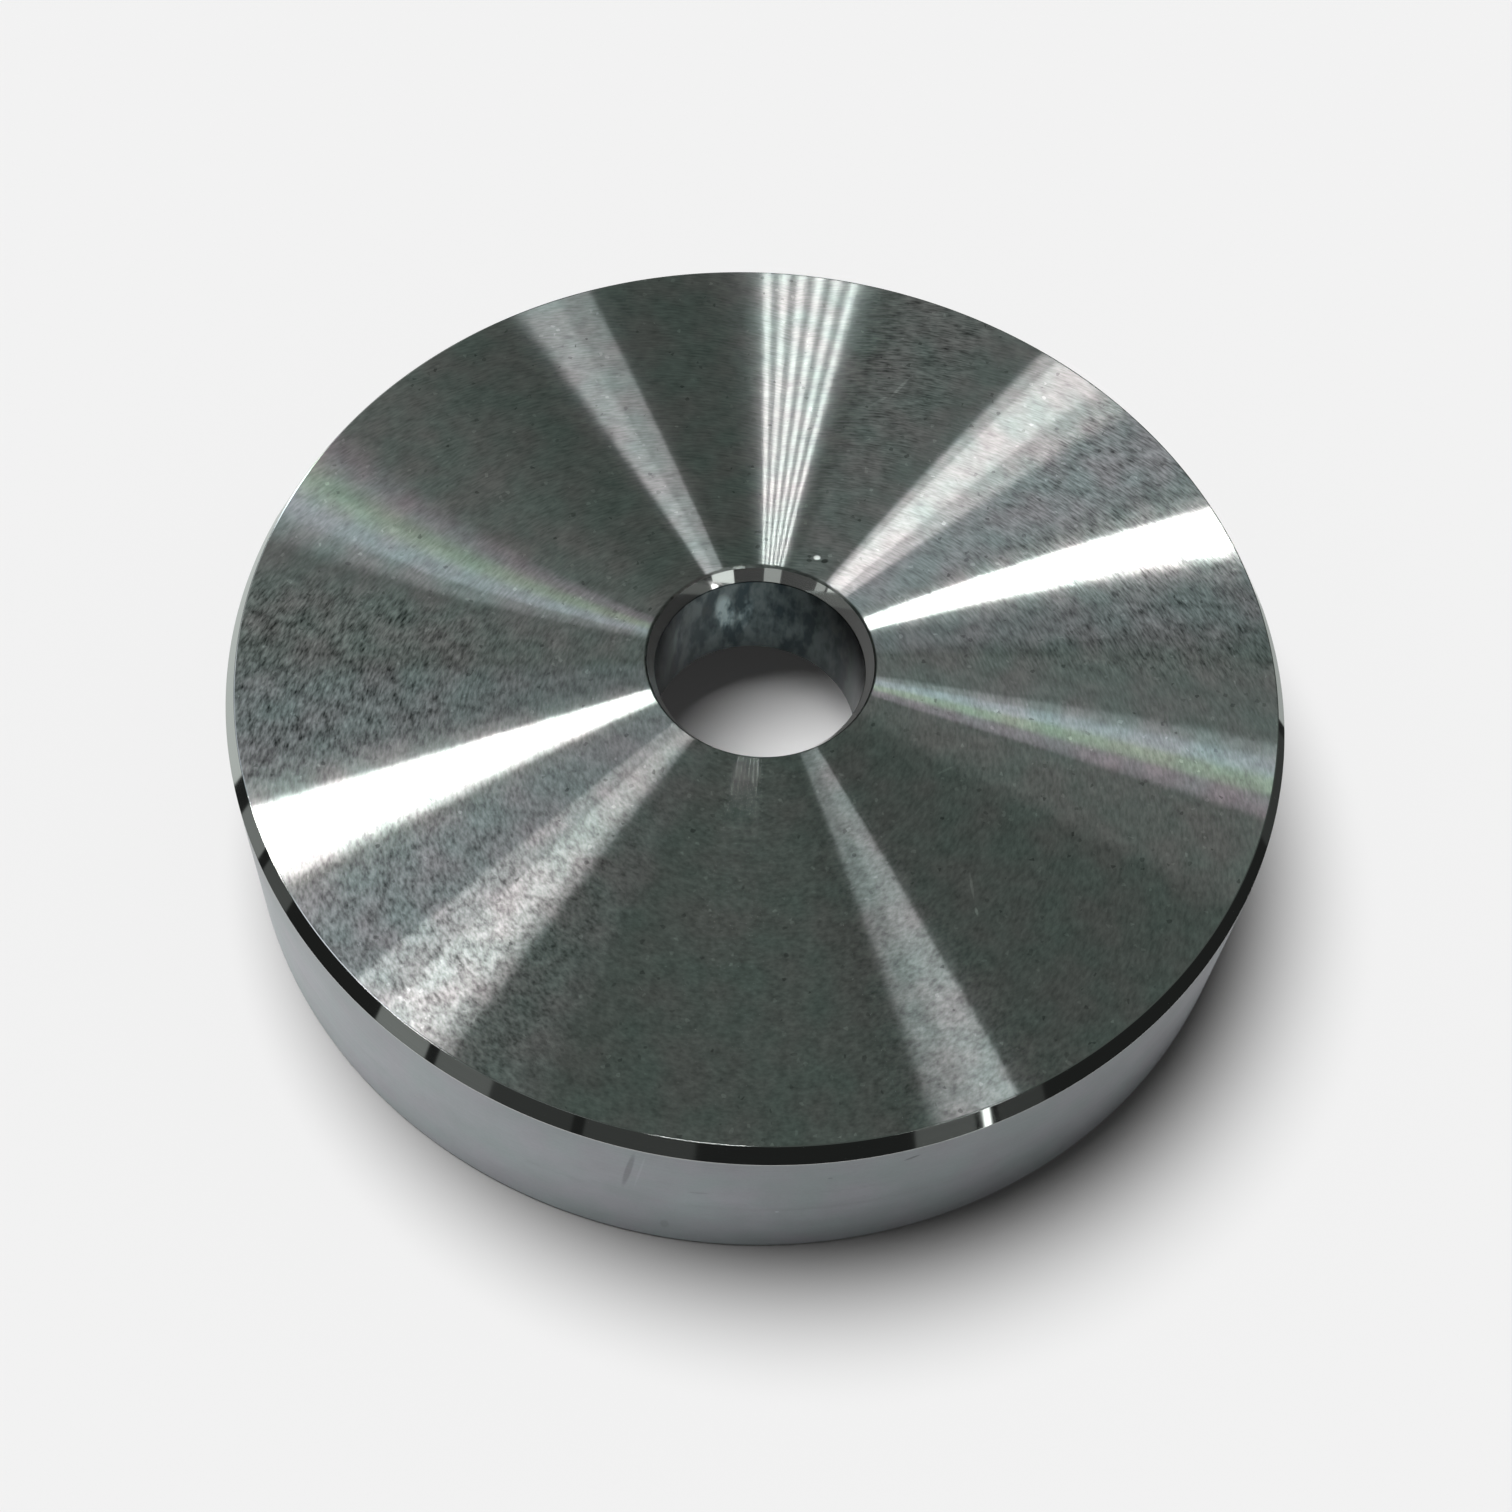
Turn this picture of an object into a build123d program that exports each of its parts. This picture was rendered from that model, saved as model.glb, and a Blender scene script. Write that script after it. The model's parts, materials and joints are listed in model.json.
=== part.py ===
"""Turned metal disc: one solid, faced, bored and chamfered on a lathe.

Millimetres, +Z up. The origin is the centre of the underside, so the disc
stands on Z = 0 and the lathe axis is the Z axis.
"""

import os
from math import radians, tan

from build123d import *

# Driving dimensions
OUTER_DIAMETER = 60.0
THICKNESS = 12.8
BORE_DIAMETER = 12.0

# Flat-bottomed counterbore in the underside, round the bore
RECESS_DIAMETER = 26.0
RECESS_DEPTH = 5.2
RECESS_CORNER_RADIUS = 0.4  # left by the nose of the boring tool

# The same chamfer runs round the rim and round the mouth of the bore:
# steeper than 45 degrees, so its long leg runs down the wall
CHAMFER_DOWN_WALL = 1.0
CHAMFER_FROM_AXIS = 30.0  # degrees

# Deburring of the two edges that the disc stands on
EDGE_BREAK = 0.15

# Worked out
outer_radius = OUTER_DIAMETER / 2
bore_radius = BORE_DIAMETER / 2
recess_radius = RECESS_DIAMETER / 2
chamfer_across_face = CHAMFER_DOWN_WALL * tan(radians(CHAMFER_FROM_AXIS))

with BuildPart() as turned_disc:
    # Half section from the bore out to the wall, turned about the lathe axis
    with BuildSketch(Plane.XZ):
        with BuildLine():
            Polyline(
                (bore_radius, RECESS_DEPTH),
                (recess_radius, RECESS_DEPTH),
                (recess_radius, 0),
                (outer_radius, 0),
                (outer_radius, THICKNESS),
                (bore_radius, THICKNESS),
                close=True,
            )
        make_face()
    revolve(axis=Axis.Z)

    circles = turned_disc.edges().filter_by(GeomType.CIRCLE)

    # Inside corner at the floor of the recess
    recess_corner = circles.filter_by_position(Axis.Z, RECESS_DEPTH, RECESS_DEPTH).sort_by(SortBy.RADIUS)[-1]
    fillet(recess_corner, radius=RECESS_CORNER_RADIUS)

    # Rim and bore mouth
    top_face = turned_disc.faces().sort_by(Axis.Z)[-1]
    chamfer(
        top_face.edges(),
        length=chamfer_across_face,
        length2=CHAMFER_DOWN_WALL,
        reference=top_face,
    )

    # Outer edge and recess mouth on the underside
    underside = turned_disc.faces().sort_by(Axis.Z)[0]
    chamfer(underside.edges(), length=EDGE_BREAK)

turned_disc.part.label = "turned_disc"

os.makedirs("parts", exist_ok=True)
export_step(turned_disc.part, "parts/turned_disc.step")
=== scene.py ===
"""Looks for the turned steel disc: one solid, with a finish for each turned surface."""

import json
from math import cos, pi, radians, sin, sqrt, tan

import bpy
from mathutils import Matrix, Vector


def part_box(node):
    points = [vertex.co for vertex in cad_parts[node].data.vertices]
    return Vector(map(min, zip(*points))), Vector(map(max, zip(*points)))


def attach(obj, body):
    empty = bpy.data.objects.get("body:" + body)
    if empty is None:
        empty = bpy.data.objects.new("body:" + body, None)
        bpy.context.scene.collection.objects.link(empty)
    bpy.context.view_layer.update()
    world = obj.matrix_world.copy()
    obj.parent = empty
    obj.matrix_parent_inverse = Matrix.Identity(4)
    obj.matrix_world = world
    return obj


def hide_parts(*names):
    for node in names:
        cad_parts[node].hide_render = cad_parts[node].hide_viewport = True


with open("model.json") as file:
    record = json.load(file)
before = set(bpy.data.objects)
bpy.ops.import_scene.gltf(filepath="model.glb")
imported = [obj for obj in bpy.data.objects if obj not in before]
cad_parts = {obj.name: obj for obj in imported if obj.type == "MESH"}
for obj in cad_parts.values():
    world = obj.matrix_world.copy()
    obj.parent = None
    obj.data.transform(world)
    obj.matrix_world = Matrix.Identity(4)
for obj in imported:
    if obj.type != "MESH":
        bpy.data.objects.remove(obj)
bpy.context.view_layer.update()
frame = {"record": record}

MM = 0.001

# ---------------------------------------------------------------- sizes
_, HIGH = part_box("turned_disc")
OUTER_RADIUS = HIGH.x
THICKNESS = HIGH.z
MOUNTS = {m["name"]: m for m in frame["record"]["mounts"]}
BORE_RADIUS = MOUNTS["bore"]["dims"]["r_mm"] * MM
BORE_LAND = MOUNTS["bore"]["dims"]["length_mm"] * MM
RECESS_RADIUS = MOUNTS["recess"]["dims"]["r_mm"] * MM
RECESS_DEPTH = MOUNTS["bore"]["pos_m"][2] - BORE_LAND / 2
RECESS_CORNER = 0.4 * MM
CHAMFER_DOWN = THICKNESS - RECESS_DEPTH - BORE_LAND
CHAMFER_ACROSS = CHAMFER_DOWN * tan(radians(30))
EDGE_BREAK = 0.15 * MM
CORNER_WEAR = 0.02 * MM  # how far the chamfers' corners are rounded
MOUTH_WEAR = 0.10 * MM  # the same, at the top of the bore
FILLET_STEPS = 6  # segments in each rounded corner
TURNS = 720  # segments round the disc


# ---------------------------------------------------------------- mesh
def rounded(points, radius):
    """The polyline points with each inner corner rounded off by about radius.

    A point either side of each round keeps the flats beside it flat when shaded smooth.
    """
    out = [points[0]]
    for before, at, after in zip(points, points[1:], points[2:]):
        a = (before - at).normalized()
        b = (after - at).normalized()
        reach = min(radius, (before - at).length / 3, (after - at).length / 3)
        start, end = at + a * reach, at + b * reach
        out.append(at + a * reach * 1.3)
        for i in range(FILLET_STEPS + 1):
            t = i / FILLET_STEPS
            out.append((1 - t) ** 2 * start + 2 * t * (1 - t) * at + t**2 * end)
        out.append(at + b * reach * 1.3)
    out.append(points[-1])
    return out


def lathe(name, zones):
    """A closed body of revolution. zones is [(material, [(r, z), ...]), ...] end to end."""
    verts, faces, slots = [], [], []
    ring_of = []
    for slot, (material, points) in enumerate(zones):
        for point in points[:-1]:
            ring_of.append((point, slot))
    for (r, z), _ in ring_of:
        for k in range(TURNS):
            a = 2 * pi * k / TURNS
            verts.append((r * cos(a), r * sin(a), z))
    rings = len(ring_of)
    for i in range(rings):
        j = (i + 1) % rings
        for k in range(TURNS):
            m = (k + 1) % TURNS
            faces.append((i * TURNS + k, j * TURNS + k, j * TURNS + m, i * TURNS + m))
            slots.append(ring_of[i][1])
    mesh = bpy.data.meshes.new(name)
    mesh.from_pydata(verts, [], faces)
    mesh.polygons.foreach_set("material_index", slots)
    mesh.polygons.foreach_set("use_smooth", [True] * len(faces))
    for material, _ in zones:
        mesh.materials.append(material)
    mesh.update()
    obj = bpy.data.objects.new(name, mesh)
    bpy.context.scene.collection.objects.link(obj)
    return obj


# ---------------------------------------------------------------- node helpers
class Nodes:
    """Short calls for building a node tree."""

    def __init__(self, tree):
        self.tree = tree
        tree.nodes.clear()

    def add(self, kind, **settings):
        node = self.tree.nodes.new(kind)
        for key, value in settings.items():
            setattr(node, key, value)
        return node

    def put(self, socket, value):
        if isinstance(value, bpy.types.NodeSocket):
            self.tree.links.new(value, socket)
        elif value is not None:
            socket.default_value = value

    def math(self, operation, a, b=None, c=None):
        node = self.add("ShaderNodeMath", operation=operation)
        for socket, value in zip(node.inputs, (a, b, c)):
            self.put(socket, value)
        return node.outputs[0]

    def vector(self, operation, a, b=None, scale=None):
        node = self.add("ShaderNodeVectorMath", operation=operation)
        self.put(node.inputs[0], a)
        self.put(node.inputs[1], b)
        if scale is not None:
            self.put(node.inputs["Scale"], scale)
        return node.outputs["Value" if operation in ("LENGTH", "DOT_PRODUCT") else 0]

    def split(self, vector):
        node = self.add("ShaderNodeSeparateXYZ")
        self.put(node.inputs[0], vector)
        return node.outputs

    def join(self, x, y, z):
        node = self.add("ShaderNodeCombineXYZ")
        for socket, value in zip(node.inputs, (x, y, z)):
            self.put(socket, value)
        return node.outputs[0]

    def noise(self, vector, scale, detail=2.0, roughness=0.5):
        node = self.add("ShaderNodeTexNoise")
        self.put(node.inputs["Vector"], vector)
        node.inputs["Scale"].default_value = scale
        node.inputs["Detail"].default_value = detail
        node.inputs["Roughness"].default_value = roughness
        return node.outputs["Fac"]

    def remap(self, value, low, high, to_low=0.0, to_high=1.0, smooth=False):
        node = self.add("ShaderNodeMapRange", clamp=True)
        if smooth:
            node.interpolation_type = "SMOOTHSTEP"
        for socket, v in zip(node.inputs, (value, low, high, to_low, to_high)):
            self.put(socket, v)
        return node.outputs[0]

    def mix(self, share, a, b):
        node = self.add("ShaderNodeMix", data_type="RGBA")
        self.put(node.inputs[0], share)
        self.put(node.inputs[6], a)
        self.put(node.inputs[7], b)
        return node.outputs[2]


def rgba(r, g, b):
    return (r, g, b, 1.0)


def grey(level):
    return rgba(level, level, level)


def metal(name):
    """A bare metal material and its helper, which knows the place, radius and directions."""
    material = bpy.data.materials.new(name)
    material.use_nodes = True
    n = Nodes(material.node_tree)
    n.place = n.add("ShaderNodeTexCoord").outputs["Object"]
    x, y, n.z = n.split(n.place)
    flat = n.join(x, y, 0.0)
    n.radius = n.vector("LENGTH", flat)
    n.outward = n.vector("NORMALIZE", flat)
    n.around = n.vector("CROSS_PRODUCT", (0.0, 0.0, 1.0), n.outward)
    n.arc = n.math("MULTIPLY", n.math("ARCTAN2", x, n.math("MULTIPLY", y, -1.0)), n.radius)
    n.x, n.y = x, y
    n.normal = n.add("ShaderNodeNewGeometry").outputs["Normal"]
    n.uphill = n.vector("CROSS_PRODUCT", n.around, n.normal)
    return material, n


def show(n, shader):
    """Makes shader the material's surface."""
    out = n.add("ShaderNodeOutputMaterial")
    n.tree.links.new(shader, out.inputs["Surface"])


def plain_gloss(n, colour, roughness, normal=None, metallic=1.0):
    """Bare metal that scatters light the same way all round."""
    shader = n.add("ShaderNodeBsdfPrincipled")
    shader.inputs["Metallic"].default_value = metallic
    n.put(shader.inputs["Base Color"], colour)
    n.put(shader.inputs["Roughness"], roughness)
    n.put(shader.inputs["Normal"], normal)
    return shader.outputs[0]


def ringed_gloss(n, colour, normal, along, around, quiet=1.0):
    """Turned metal: light is scattered by slope along the radius and slope around the ring.

    quiet, under 1 where the tool left the metal flatter, narrows both.
    """
    shader = n.add("ShaderNodeBsdfAnisotropic", distribution="BECKMANN")
    n.put(shader.inputs["Color"], colour)
    n.put(shader.inputs["Roughness"], n.math("MULTIPLY", quiet, (along * around) ** 0.25))
    shader.inputs["Anisotropy"].default_value = 1.0 - sqrt(around / along)
    n.put(shader.inputs["Normal"], normal)
    n.put(shader.inputs["Tangent"], n.around)
    return shader.outputs[0]


def gaussian(n, seed):
    """A bell-shaped random number, mean 0 and deviation 1, from a seed socket."""
    node = n.add("ShaderNodeTexWhiteNoise", noise_dimensions="1D")
    n.put(node.inputs["W"], seed)
    r, g, b = n.split(node.outputs["Color"])
    total = n.math("ADD", n.math("ADD", r, g), b)
    return n.math("MULTIPLY", n.math("SUBTRACT", total, 1.5), 2.0)


def tilted(n, normal, *tilts):
    """normal leaned by each (direction, slope) pair, as tool marks lean a facet."""
    total = normal
    for direction, slope in tilts:
        total = n.vector("ADD", total, n.vector("SCALE", direction, scale=slope))
    return n.vector("NORMALIZE", total)


def specks(n, size, share, strength):
    """1, but up to strength more or less in that share of small grains."""
    cells = n.add("ShaderNodeTexVoronoi", feature="F1")
    n.put(cells.inputs["Vector"], n.place)
    cells.inputs["Scale"].default_value = 1.0 / size
    pick, other, _ = n.split(cells.outputs["Color"])
    swing = n.math("MULTIPLY_ADD", other, 2.0 * strength, -strength)
    return n.math("MULTIPLY_ADD", n.math("LESS_THAN", pick, share), swing, 1.0)


def marks(n, u, v, nicks):
    """Two sums over small soft-edged nicks: how much brighter each is and how far it tilts.

    A nick is (u, v, half length, half width, direction, brighter by, tilt), in mm and degrees.
    """
    gain, tilt = 0.0, 0.0
    for at_u, at_v, length, width, direction, more, lean in nicks:
        a = radians(direction)
        du = n.math("SUBTRACT", u, at_u * MM)
        dv = n.math("SUBTRACT", v, at_v * MM)
        along = n.math("MULTIPLY_ADD", du, cos(a), n.math("MULTIPLY", dv, sin(a)))
        across = n.math("MULTIPLY_ADD", dv, cos(a), n.math("MULTIPLY", du, -sin(a)))
        scaled = n.join(
            n.math("DIVIDE", along, length * MM), n.math("DIVIDE", across, width * MM), 0.0
        )
        share = n.remap(n.vector("LENGTH", scaled), 0.5, 1.0, 1.0, 0.0, smooth=True)
        gain = n.math("MULTIPLY_ADD", share, more, gain)
        tilt = n.math("MULTIPLY_ADD", share, lean, tilt)
    return gain, tilt


# ---------------------------------------------------------------- finishes
# The facing tool leaves fine rings, so the top mirrors each light as a straight wedge
FACET_LEAN = -0.14  # the slope that the facets lean by, outward
RADIAL_SCATTER = 0.42  # the slopes that they scatter light by, along the radius
RING_SCATTER = 0.002  # and round the ring
WORN_SCATTER = 0.016  # the same where it is worn
WORN_SHARE = 0.27
QUIET_BEARING = 269.5  # the middle of a sector that the tool left flatter
# Sectors where handling left coarser grain: the middle's bearing and the half width
SCUFFS = [(189, 17, 1.5), (232, 22, 1), (297, 12, 0.3), (14, 12, 1), (38, 12, 1), (72, 10, 1)]
TOP_NICKS = [
    (2.70, 7.40, 0.26, 0.20, 20, 0.3, -0.075),
    (3.15, 7.20, 0.28, 0.20, 20, -0.7, 0.0),
    (2.25, 7.15, 0.20, 0.15, 0, -0.5, 0.0),
    (10.7, -6.3, 0.60, 0.10, 35, 0.35, 0.0),
    (12.4, -13.4, 0.95, 0.10, -80, 0.45, 0.0),
    (12.7, -14.9, 0.30, 0.10, -75, 0.8, -0.012),
    (6.9, 20.9, 1.30, 0.12, 58, 0.35, 0.0),
    (5.7, 19.7, 0.90, 0.12, 40, 0.30, 0.0),
]
WALL_NICKS = [
    (-4.3, 8.9, 2.9, 0.22, 83, -0.32, 0.0),
    (-3.7, 9.0, 2.9, 0.08, 83, 0.12, 0.0),
    (10.3, 10.6, 0.55, 0.16, 20, -0.45, 0.0),
    (-0.6, 7.4, 0.70, 0.15, 8, -0.20, 0.0),
    (-2.3, 2.2, 0.30, 0.70, 0, -0.18, 0.0),
    (3.6, 5.2, 0.14, 0.12, 0, 0.55, 0.0),
    (6.1, 9.6, 0.18, 0.14, 0, -0.30, 0.0),
]
# Painted reflections on the bore: light patches and one darker one, with the same columns as the nicks
BORE_PAINTED_REFLECTIONS = [
    (-16.4, 9.0, 2.3, 0.75, 82, 1.9, 0.0),
    (-17.6, 8.6, 2.0, 0.55, 98, 1.3, 0.0),
    (-15.2, 9.9, 1.5, 0.50, 90, -0.6, 0.0),
    (-13.0, 9.0, 2.0, 0.60, 90, 0.6, 0.0),
]


def sector(n, bearing, half_width):
    """1 at the bearing's middle, fading to 0 at half_width to either side, in degrees."""
    middle = (cos(radians(bearing)), sin(radians(bearing)), 0.0)
    facing = n.vector("DOT_PRODUCT", n.outward, middle)
    return n.remap(facing, cos(radians(half_width)), cos(radians(half_width * 0.5)), smooth=True)


def steel_colour(n, nick_gain):
    """Grey steel with faint green and brown patches, grain and a few dark and light grains, with a
    painted highlight: a lighter ring round the outer edge.
    """
    patch = n.remap(n.noise(n.place, 380.0, detail=1.5), 0.34, 0.66)
    steel = n.mix(patch, rgba(0.515, 0.575, 0.545), rgba(0.590, 0.565, 0.555))
    cloud = n.remap(n.noise(n.place, 1100.0, detail=2.0), 0.3, 0.7, -0.13, 0.13)
    brushed = n.join(n.radius, n.math("MULTIPLY", n.arc, 0.62), 0.0)
    grain = n.remap(n.noise(brushed, 3900.0, detail=2.0, roughness=0.6), 0.3, 0.7, -0.21, 0.21)
    scuff = 0.0
    for bearing, half_width, strength in SCUFFS:
        scuffed = n.math("MULTIPLY", sector(n, bearing, half_width), strength)
        scuff = n.math("MAXIMUM", scuff, scuffed)
    outer = n.remap(n.radius, 0.35 * OUTER_RADIUS, 0.75 * OUTER_RADIUS, 0.2, 1.3)
    contrast = n.math("MULTIPLY_ADD", scuff, outer, 1.0)
    # painted highlight: the top's outermost ring is painted 6% lighter
    rim = n.remap(n.radius, 0.945 * OUTER_RADIUS, 0.955 * OUTER_RADIUS, 1.0, 1.06)
    shade = n.math("MULTIPLY_ADD", n.math("ADD", cloud, grain), contrast, rim)
    shade = n.math("MULTIPLY", shade, specks(n, 0.20 * MM, 0.022, 0.45))
    shade = n.math("MULTIPLY", shade, n.math("ADD", nick_gain, 1.0))
    return n.vector("SCALE", steel, scale=shade)


def quiet_sector(n):
    """Under 1 in the sector that the tool left flatter, and 1 elsewhere."""
    near = n.remap(n.radius, 0.20 * OUTER_RADIUS, 0.42 * OUTER_RADIUS, 0.30, 0.45, smooth=True)
    share = n.math("ADD", near, n.remap(n.radius, 0.45 * OUTER_RADIUS, OUTER_RADIUS, 0.0, 0.17))
    return n.math("MULTIPLY_ADD", n.math("MULTIPLY", sector(n, QUIET_BEARING, 21.0), share), -1.0, 1.0)


def faced_finish():
    """Faced steel, which also runs over the worn edge of the bore's mouth."""
    material, n = metal("faced_top")
    nick_gain, nick_tilt = marks(n, n.x, n.y, TOP_NICKS)
    ripple = n.math("SUBTRACT", n.noise(n.place, 5000.0, detail=1.0), 0.5)
    sideways = n.math("MULTIPLY_ADD", ripple, 0.004, nick_tilt)
    normal = tilted(n, n.normal, (n.uphill, FACET_LEAN), (n.around, sideways))
    colour = steel_colour(n, nick_gain)
    quiet = quiet_sector(n)
    mixed = n.add("ShaderNodeMixShader")
    mixed.inputs[0].default_value = WORN_SHARE
    fresh = ringed_gloss(n, colour, normal, RADIAL_SCATTER, RING_SCATTER, quiet)
    worn = ringed_gloss(n, colour, normal, RADIAL_SCATTER, WORN_SCATTER, quiet)
    n.put(mixed.inputs[1], fresh)
    n.put(mixed.inputs[2], worn)
    show(n, mixed.outputs[0])
    return material


def chamfer_finish(name, metallic):
    """The chamfers: almost a mirror, with fine turning lines along them."""
    material, n = metal(name)
    lines = n.noise(n.join(n.radius, n.z, 0.0), 26000.0, detail=1.0)
    haze = n.noise(n.place, 300.0, detail=3.0)
    colour = n.mix(lines, rgba(0.52, 0.54, 0.52), rgba(0.62, 0.62, 0.61))
    show(n, plain_gloss(n, colour, n.remap(haze, 0.3, 0.7, 0.03, 0.07), metallic=metallic))
    return material


def wall_finish():
    """The outer wall: satin, blue-grey, with faint lines round it, and painted light that makes it
    lighter towards its bottom.
    """
    material, n = metal("satin_wall")
    mark = n.math("FLOOR", n.math("DIVIDE", n.z, 0.03 * MM))
    lean = n.math("MULTIPLY", gaussian(n, mark), 0.03)
    normal = tilted(n, n.normal, ((0.0, 0.0, 1.0), lean))
    cloud = n.noise(n.place, 220.0, detail=6.0, roughness=0.6)
    grain = n.noise(n.place, 6000.0, detail=2.0)
    shade = n.math("MULTIPLY_ADD", grain, 0.25, n.math("MULTIPLY", cloud, 0.75))
    patch = n.remap(n.noise(n.place, 300.0, detail=2.0), 0.35, 0.65)
    low = n.mix(patch, rgba(0.265, 0.305, 0.310), rgba(0.285, 0.298, 0.318))
    high = n.mix(patch, rgba(0.325, 0.370, 0.382), rgba(0.350, 0.360, 0.390))
    blue = n.mix(n.remap(shade, 0.3, 0.7), low, high)
    nick_gain, _ = marks(n, n.arc, n.z, WALL_NICKS)
    # painted light: the wall is painted lighter towards its bottom and a little darker at its top
    painted_light_to_bottom = n.remap(n.z, 0.0, 0.9 * THICKNESS, 1.25, 0.93)
    colour = n.vector("SCALE", blue, scale=n.math("MULTIPLY", n.math("ADD", nick_gain, 1.0), painted_light_to_bottom))
    show(n, plain_gloss(n, colour, 0.36, normal))
    return material


def bore_finish_and_shade():
    """The bore: dull metal, painted dark as shade, with painted reflections in light and dark vertical
    bands and patches down it, and painted shade deepening towards the recess.
    """
    material, n = metal("bored_wall")
    stretched = n.vector("MULTIPLY", n.place, (1.0, 1.0, 0.4))
    reflection_band = n.noise(stretched, 1000.0, detail=3.0, roughness=0.6)
    # painted shade: the bore's dark colour, banded by painted reflections
    dark = n.mix(n.remap(reflection_band, 0.40, 0.60), rgba(0.020, 0.034, 0.038), rgba(0.085, 0.108, 0.108))
    # painted reflections: light patches where the bands are lighter
    more, _ = marks(n, n.arc, n.z, BORE_PAINTED_REFLECTIONS)
    more = n.math("MULTIPLY", more, n.remap(reflection_band, 0.38, 0.55))
    # painted shade, deeper towards the bottom of the bore at the recess
    painted_shade_low = n.remap(n.z, RECESS_DEPTH, RECESS_DEPTH + 2 * MM, 0.6, 1.0)
    colour = n.vector("SCALE", dark, scale=n.math("MULTIPLY", n.math("ADD", more, 1.0), painted_shade_low))
    show(n, plain_gloss(n, colour, 0.24))
    return material


def underside_finish():
    """The underside and recess: turned less finely than the top."""
    material, n = metal("underside")
    mark = n.math("FLOOR", n.math("DIVIDE", n.radius, 0.02 * MM))
    lean = n.math("MULTIPLY", gaussian(n, mark), 0.12)
    normal = tilted(n, n.normal, (n.uphill, lean))
    cloud = n.noise(n.place, 120.0, detail=4.0)
    colour = n.mix(cloud, rgba(0.40, 0.42, 0.42), rgba(0.50, 0.50, 0.49))
    show(n, plain_gloss(n, colour, 0.25, normal))
    return material


# ---------------------------------------------------------------- the disc
def build_disc():
    """The whole body: one zone for each turned surface, from the mouth round to the bore."""
    faced = faced_finish()
    bright, mouth_bright = chamfer_finish("bright_chamfer", 1.0), chamfer_finish("mouth_chamfer", 0.8)
    wall, bore, under = wall_finish(), bore_finish_and_shade(), underside_finish()

    def p(r, z):
        return Vector((r, z))

    def line(*corners, wear=CORNER_WEAR):
        """Straight runs with each corner between them worn round."""
        return rounded([p(*corner) for corner in corners], wear)

    top = THICKNESS
    rim = OUTER_RADIUS - CHAMFER_ACROSS
    mouth = BORE_RADIUS + CHAMFER_ACROSS
    low = top - CHAMFER_DOWN
    shy = 3 * CORNER_WEAR
    slope = CHAMFER_ACROSS / CHAMFER_DOWN
    worn_to = (mouth - 2 * MOUTH_WEAR * slope, top - 2 * MOUTH_WEAR)
    bored_to = (BORE_RADIUS + shy * slope, low + shy)
    zones = [
        (faced, line(worn_to, (mouth, top), (rim - shy, top), wear=MOUTH_WEAR)),
        (bright, line((rim - shy, top), (rim, top), (OUTER_RADIUS, low), (OUTER_RADIUS, low - shy))),
        (wall, [p(OUTER_RADIUS, low - shy), p(OUTER_RADIUS, EDGE_BREAK)]),
        (under, [p(OUTER_RADIUS, EDGE_BREAK), p(OUTER_RADIUS - EDGE_BREAK, 0)]),
        (under, [p(OUTER_RADIUS - EDGE_BREAK, 0), p(RECESS_RADIUS + EDGE_BREAK, 0)]),
        (under, [p(RECESS_RADIUS + EDGE_BREAK, 0), p(RECESS_RADIUS, EDGE_BREAK)]),
        (under, recess_profile()),
        (bore, line((BORE_RADIUS, RECESS_DEPTH), (BORE_RADIUS, low), bored_to)),
        (mouth_bright, [p(*bored_to), p(*worn_to)]),
    ]
    disc = lathe("disc", zones)
    disc.data.set_sharp_from_angle(angle=radians(30))
    return disc


def recess_profile():
    """Up the recess's wall, round its filleted corner and in along its roof."""
    centre = Vector((RECESS_RADIUS - RECESS_CORNER, RECESS_DEPTH - RECESS_CORNER))
    points = [Vector((RECESS_RADIUS, EDGE_BREAK))]
    for i in range(FILLET_STEPS + 1):
        a = pi / 2 * i / FILLET_STEPS
        points.append(centre + Vector((cos(a), sin(a))) * RECESS_CORNER)
    points.append(Vector((BORE_RADIUS, RECESS_DEPTH)))
    return points


disc = build_disc()
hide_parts("turned_disc")
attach(disc, "root")

# ---------------------------------------------------------------- camera
# The view: degrees down and of roll, distance from the top face's centre, and how far
# that centre lies right of and below the middle of the picture, at that distance
VIEW_DOWN = radians(58.30)
ROLL = radians(5.40)
LENS = 54.83
DISTANCE = 4.3463 * OUTER_RADIUS
AIM_X = 0.0095 * OUTER_RADIUS
AIM_Y = -0.1850 * OUTER_RADIUS
CENTRE = Vector((0, 0, THICKNESS))


def build_camera():
    """A camera that looks at the top face's centre, rolled a little."""
    data = bpy.data.cameras.new("camera")
    data.sensor_width = 36.0
    data.lens = LENS
    data.clip_start = 0.005
    camera = bpy.data.objects.new("camera", data)
    bpy.context.scene.collection.objects.link(camera)
    # back, up and right of the view, from how far it looks down and how far it is rolled
    back = Vector((0, -cos(VIEW_DOWN), sin(VIEW_DOWN)))
    level_up = Vector((0, sin(VIEW_DOWN), cos(VIEW_DOWN)))
    level_right = Vector((1, 0, 0))
    right = level_right * cos(ROLL) + level_up * sin(ROLL)
    up = level_up * cos(ROLL) - level_right * sin(ROLL)
    place = Matrix((right, up, back)).transposed().to_4x4()
    place.translation = CENTRE + right * -AIM_X + up * AIM_Y + back * DISTANCE
    camera.matrix_world = place
    bpy.context.scene.camera = camera
    return camera


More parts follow.
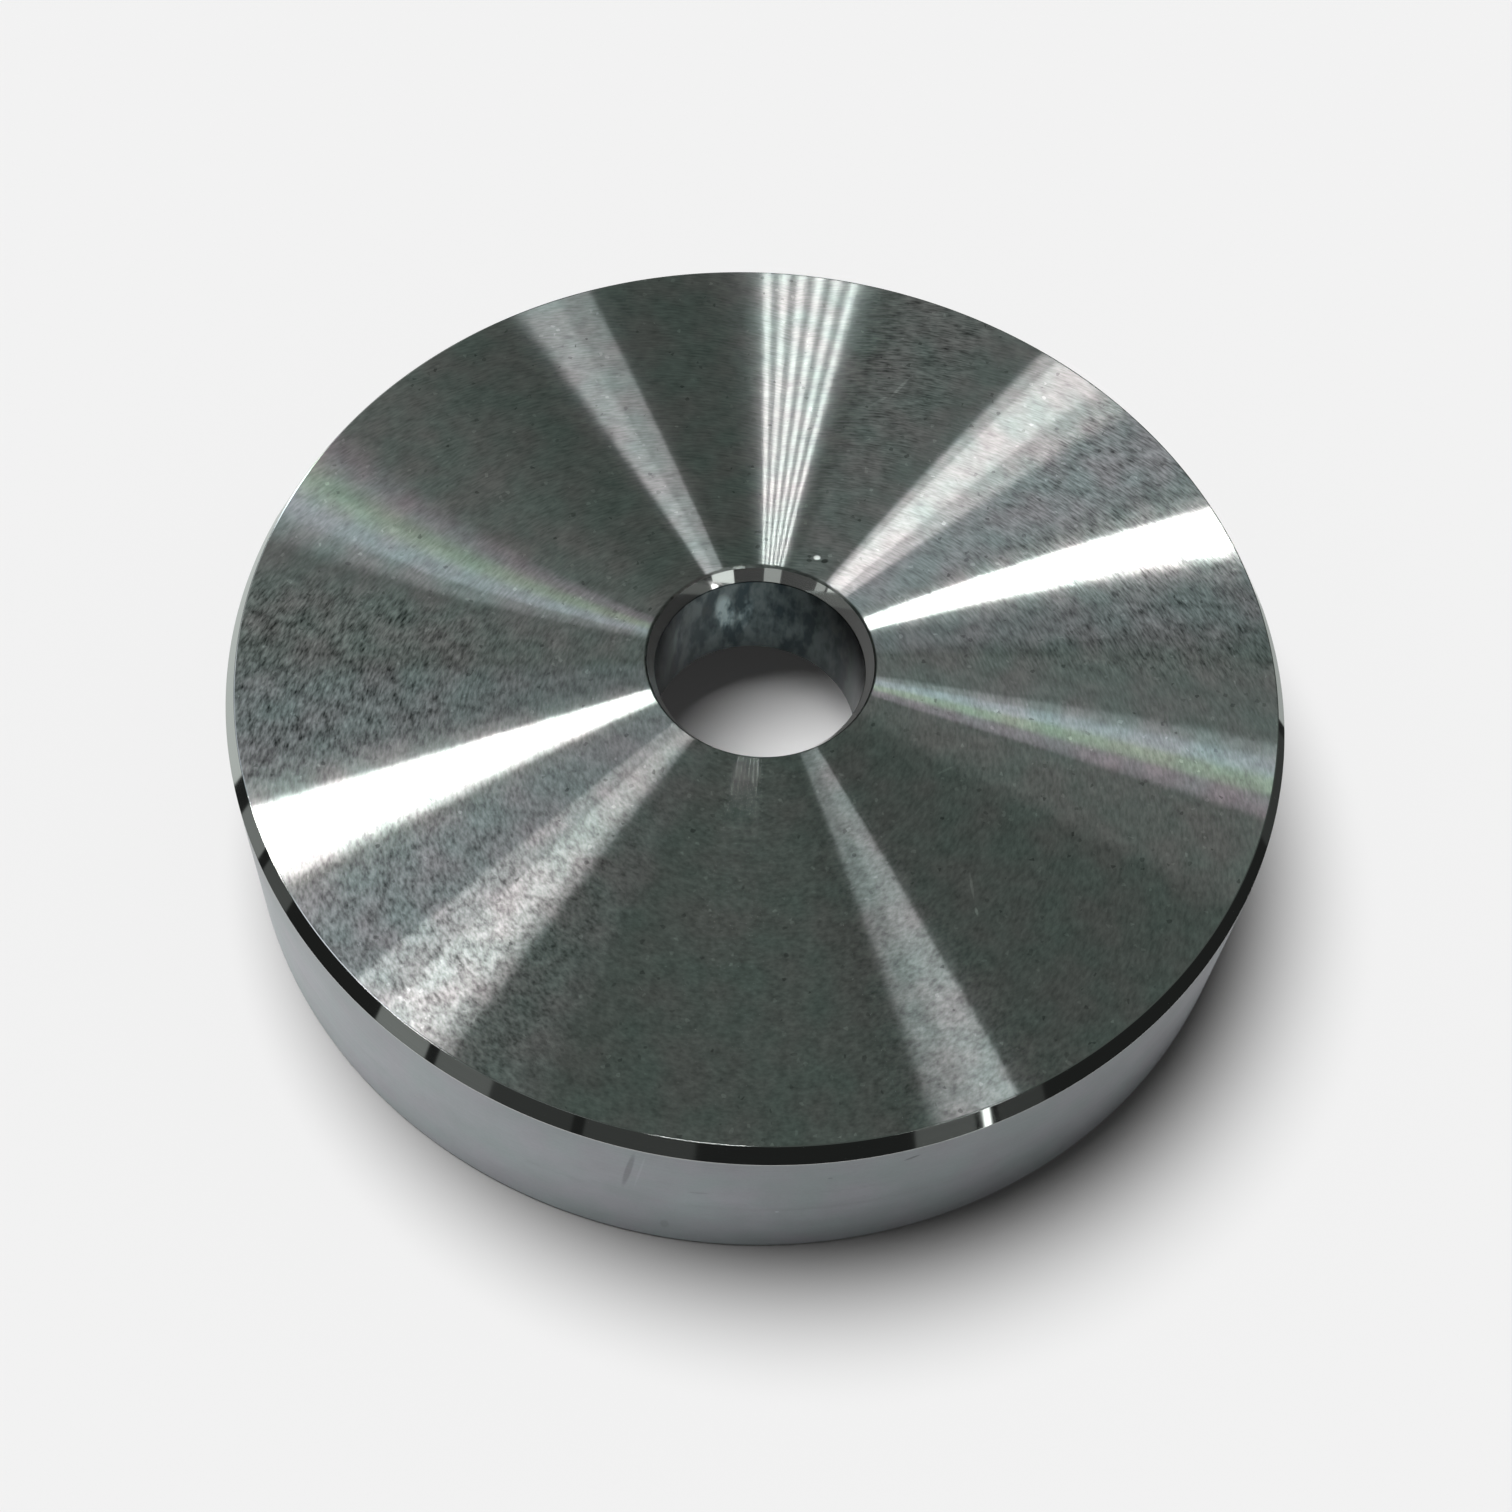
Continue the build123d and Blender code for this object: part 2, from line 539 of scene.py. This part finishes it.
# ---------------------------------------------------------------- lights
class Strip:
    """A strip light, by where the faced top mirrors it to the camera.

    azimuth is the bearing from the centre of the wedge that it lights, lean the slope of
    the facets there, reach how much more or less than that they may lean, and width the
    wedge's width in degrees. distance is in radii of the disc.
    """

    def __init__(self, name, azimuth, lean, distance, width, reach, colour, radiance):
        self.name, self.colour, self.radiance = name, colour, radiance
        self.azimuth, self.lean = radians(azimuth), lean
        self.distance, self.width, self.reach = distance * OUTER_RADIUS, radians(width), reach

    def mirrored(self, to_camera, lean):
        outward = Vector((cos(self.azimuth), sin(self.azimuth), 0))
        facet = (outward * lean + Vector((0, 0, 1))).normalized()
        return facet * (2 * facet.dot(to_camera)) - to_camera

    def build(self, to_camera):
        toward = self.mirrored(to_camera, self.lean)
        around = Vector((-sin(self.azimuth), cos(self.azimuth), 0))
        across = (around - toward * around.dot(toward)).normalized()
        along = toward.cross(across)
        level = (toward + to_camera).xy.length
        half_across = self.width / 2 * level / abs(across.dot(around)) * self.distance
        ends = [self.mirrored(to_camera, self.lean + s * self.reach) for s in (-1, 1)]
        half_along = tan(ends[0].angle(ends[1]) / 2) * self.distance
        data = bpy.data.lights.new(self.name, "AREA")
        data.shape = "RECTANGLE"
        data.size, data.size_y = 2 * half_across, 2 * half_along
        data.color = self.colour
        data.energy = self.radiance * data.size * data.size_y * pi
        light = bpy.data.objects.new(self.name, data)
        bpy.context.scene.collection.objects.link(light)
        place = Matrix((across, along, toward)).transposed().to_4x4()
        place.translation = CENTRE + toward * self.distance
        light.matrix_world = place
        light.visible_camera = False
        light.visible_diffuse = False


WHITE = (1.0, 1.0, 1.0)
COOL = (0.94, 0.96, 1.0)
BLIND_BEARING = 268.6
BLINDS = 6  # thin bright gaps side by side in the blind
BLIND_STEP = 1.85  # degrees from one gap to the next
# Each was placed and coloured by comparing renders with the photograph
STRIPS = [
    Strip("window", 208.2, 0.27, 14.0, 7.3, 0.05, WHITE, 40.0),
    Strip("window_left", 197.0, 0.27, 14.0, 13.0, 0.12, (0.82, 0.88, 1.0), 0.6),
    Strip("window_right", 221.5, 0.27, 14.0, 14.0, 0.12, (0.86, 0.90, 1.0), 1.15),
    Strip("left_panel", 234.8, 0.43, 19.5, 6.0, 0.05, WHITE, 7.4),
    Strip("left_panel_edge", 233.6, 0.43, 19.5, 12.5, 0.05, (1.0, 0.97, 1.0), 9.0),
    Strip("left_haze", 249.0, 0.43, 19.5, 18.0, 0.12, COOL, 0.4),
    Strip("right_panel", 300.6, 0.38, 9.5, 4.5, 0.05, COOL, 2.2),
    Strip("right_panel_edge", 298.6, 0.38, 9.5, 9.0, 0.05, COOL, 4.3),
    Strip("far_violet", 345.0, -0.19, 34.7, 3.5, 0.05, (1.0, 0.78, 1.0), 2.1),
    Strip("far_green", 348.3, -0.19, 34.7, 3.0, 0.05, (0.78, 1.0, 0.74), 4.0),
    Strip("far_blue", 351.2, -0.19, 34.7, 3.0, 0.05, (0.76, 0.88, 1.0), 5.0),
    Strip("far_white", 353.9, -0.19, 34.7, 2.6, 0.05, (0.88, 0.94, 1.0), 2.2),
    Strip("far_haze_left", 336.0, -0.19, 34.7, 14.0, 0.10, WHITE, 0.25),
    Strip("far_haze_right", 362.0, -0.19, 34.7, 13.0, 0.10, COOL, 0.35),
    Strip("blind", BLIND_BEARING, 0.26, 8.0, 11.4, 0.05, COOL, 2.4),
]
for i in range(BLINDS):
    azimuth = BLIND_BEARING + (i - (BLINDS - 1) / 2) * BLIND_STEP
    STRIPS.append(Strip(f"blind_gap_{i}", azimuth, 0.26, 7.9, 0.6, 0.05, WHITE, 20.0))


# ---------------------------------------------------------------- room and floor
def tone(level):
    """The one faintly green grey that the room's cards share, at that brightness."""
    return rgba(0.97 * level, 1.03 * level, level)


ROOM_DARK = tone(0.02)
# Plain cards that stand round the bench: middle and half width in degrees, and brightness,
# placed as the strips were
CARDS = [
    (137, 28, 0.65),
    (174, 4, 0.25),
    (184, 4, 0.10),
    (216, 5, 0.25),
    (228, 5, 0.15),
    (240, 7, 0.05),
    (258, 9, 0.06),
    (307, 5, 0.12),
    (314, 0.6, 2.5),
    (320, 4, 0.06),
    (30, 9, 0.05),
    (58, 17, 0.45),
]
# The bright cards that stand level with the disc, which the bore's mouth mirrors
HORIZON = [
    (205, 5, 0.5),
    (215, 5, 1.1),
    (226, 4, 0.5),
    (267, 7, 0.5),
    (308, 9, 1.3),
]
HORIZON_DARK = tone(0.03)
CARD_SOFT = 0.5  # degrees over which a card's edge fades
PAPER = 0.8  # how much light the paper gives back
PAPER_SHOWN = 0.89  # how bright the camera sees the room past the floor
FLOOR_LIGHT = 0.063  # how bright the room is to the paper
FLOOR_HALF = 6.0
FLOOR_DOWN = 0.03 * MM  # the sheets lie this far below the disc, so that none touch
NEAR_DOWN = 0.02 * MM
UNDER_DOWN = 0.01 * MM
NEAR_PAPER = 1.32 * OUTER_RADIUS  # the round of paper that the metal mirrors
KEY_LIGHT = 3.52
KEY_WIDTH = radians(39.6)
KEY_TOWARD = Vector((-0.262, 0.272, 1.0)).normalized()
LAMP_RADIANCE = 8.6
LAMP_DISTANCE = 0.30
LAMP_HALF_WIDTH = radians(30.5)
LAMP_TOWARD = Vector((-0.542, 0.230, 1.0)).normalized()


def cards(n, bearing, back, listed):
    """What a ray at that bearing sees: a card, or the colour back between the cards."""
    seen = back
    for middle, half, level in listed:
        off = n.math("ABSOLUTE", n.math("WRAP", n.math("SUBTRACT", bearing, middle), 180.0, -180.0))
        share = n.remap(off, half - CARD_SOFT / 2, half + CARD_SOFT / 2, 1.0, 0.0, smooth=True)
        seen = n.mix(share, seen, tone(level))
    return seen


def build_world():
    """The room that the metal mirrors, with an even light for the paper and the camera."""
    world = bpy.data.worlds.new("room")
    bpy.context.scene.world = world
    world.use_nodes = True
    world.cycles.sampling_method = "NONE"
    n = Nodes(world.node_tree)
    out = n.add("ShaderNodeOutputWorld")
    direction = n.add("ShaderNodeTexCoord").outputs["Generated"]
    x, y, z = n.split(direction)
    bearing = n.math("MULTIPLY", n.math("ARCTAN2", y, x), 180.0 / pi)
    below = cards(n, bearing, ROOM_DARK, CARDS)
    level = cards(n, bearing, HORIZON_DARK, HORIZON)
    low_ceiling = n.mix(n.remap(z, 0.0, 0.6), grey(0.05), rgba(0.115, 0.135, 0.125))
    ceiling = n.mix(n.remap(z, 0.6, 1.0), low_ceiling, rgba(0.080, 0.094, 0.087))
    room = n.mix(n.remap(z, 0.13, 0.16), n.mix(n.remap(z, -0.05, -0.03), below, level), ceiling)
    path = n.add("ShaderNodeLightPath").outputs
    soft = n.mix(path["Is Diffuse Ray"], grey(PAPER_SHOWN), grey(FLOOR_LIGHT))
    back = n.add("ShaderNodeBackground")
    n.put(back.inputs["Color"], n.mix(path["Is Glossy Ray"], soft, room))
    n.tree.links.new(back.outputs[0], out.inputs["Surface"])


def paper(name, glow=0.0):
    """Matt paper, where glow is painted light that the paper gives off itself, though it is no lamp.
    """
    material = bpy.data.materials.new(name)
    material.use_nodes = True
    shader = material.node_tree.nodes["Principled BSDF"]
    shader.inputs["Base Color"].default_value = grey(PAPER)
    shader.inputs["Roughness"].default_value = 1.0
    shader.inputs["Specular IOR Level"].default_value = 0.0
    shader.inputs["Emission Color"].default_value = grey(1.0)
    shader.inputs["Emission Strength"].default_value = glow
    return material


def sheet(name, outline, depth, glow=0.0):
    """A level sheet of paper just below the disc, which isn't part of the object."""
    mesh = bpy.data.meshes.new(name)
    mesh.from_pydata([(x, y, 0.0) for x, y in outline], [], [range(len(outline))])
    mesh.materials.append(paper(name, glow))
    obj = bpy.data.objects.new(name, mesh)
    obj.location.z = -depth
    bpy.context.scene.collection.objects.link(obj)
    return obj


def circle(radius, count=96):
    """The corners of a polygon of count sides that stands for a circle."""
    return [(radius * cos(2 * pi * k / count), radius * sin(2 * pi * k / count)) for k in range(count)]


def place_light(name, data, toward, distance):
    """A light that way from the disc, shining at it, which neither metal nor camera sees."""
    light = bpy.data.objects.new(name, data)
    bpy.context.scene.collection.objects.link(light)
    light.location = toward * distance
    light.rotation_euler = (-toward).to_track_quat("-Z", "Y").to_euler()
    light.visible_glossy = False
    light.visible_camera = False
    return light


def build_floor():
    """Pale paper under a wide soft key from the back left, which the metal doesn't mirror.

    The metal mirrors only the paper near the disc, and the round of paper under the bore
    has a lamp of its own.
    """
    corners = [(x * FLOOR_HALF, y * FLOOR_HALF) for x, y in ((-1, -1), (1, -1), (1, 1), (-1, 1))]
    floor = sheet("floor", corners, FLOOR_DOWN)
    floor.visible_glossy = False
    # painted light: this paper glows, lifting the shade that the metal mirrors near the disc
    near = sheet("floor_near", circle(NEAR_PAPER), NEAR_DOWN, glow=0.06)
    near.visible_camera = False
    near.visible_diffuse = False
    near.visible_shadow = False
    # painted light: this paper glows, lifting the shade under the bore
    under = sheet("floor_under", circle(RECESS_RADIUS - EDGE_BREAK), UNDER_DOWN, glow=0.025)

    sun = bpy.data.lights.new("key", "SUN")
    sun.energy = KEY_LIGHT
    sun.angle = KEY_WIDTH
    key = place_light("key", sun, KEY_TOWARD, 1.0)

    lamp = bpy.data.lights.new("bore_lamp", "AREA")
    lamp.shape = "DISK"
    lamp.size = 2 * LAMP_DISTANCE * tan(LAMP_HALF_WIDTH)
    lamp.energy = LAMP_RADIANCE * pi * pi * (lamp.size / 2) ** 2
    bore_lamp = place_light("bore_lamp", lamp, LAMP_TOWARD, LAMP_DISTANCE)
    link_light(bore_lamp, under, "INCLUDE")
    link_light(key, under, "EXCLUDE")


def link_light(light, obj, state):
    """Makes the light shine only on obj, or on all but obj."""
    listed = bpy.data.collections.new(light.name + "_linking")
    listed.objects.link(obj)
    listed.collection_objects[0].light_linking.link_state = state
    light.light_linking.receiver_collection = listed


camera = build_camera()
to_camera = (camera.matrix_world.translation - CENTRE).normalized()
for strip in STRIPS:
    strip.build(to_camera)
build_world()
build_floor()
scene = bpy.context.scene
scene.view_settings.view_transform = "Standard"
scene.cycles.caustics_reflective = False
scene.cycles.caustics_refractive = False
scene.cycles.max_bounces = 6
scene.cycles.diffuse_bounces = 1
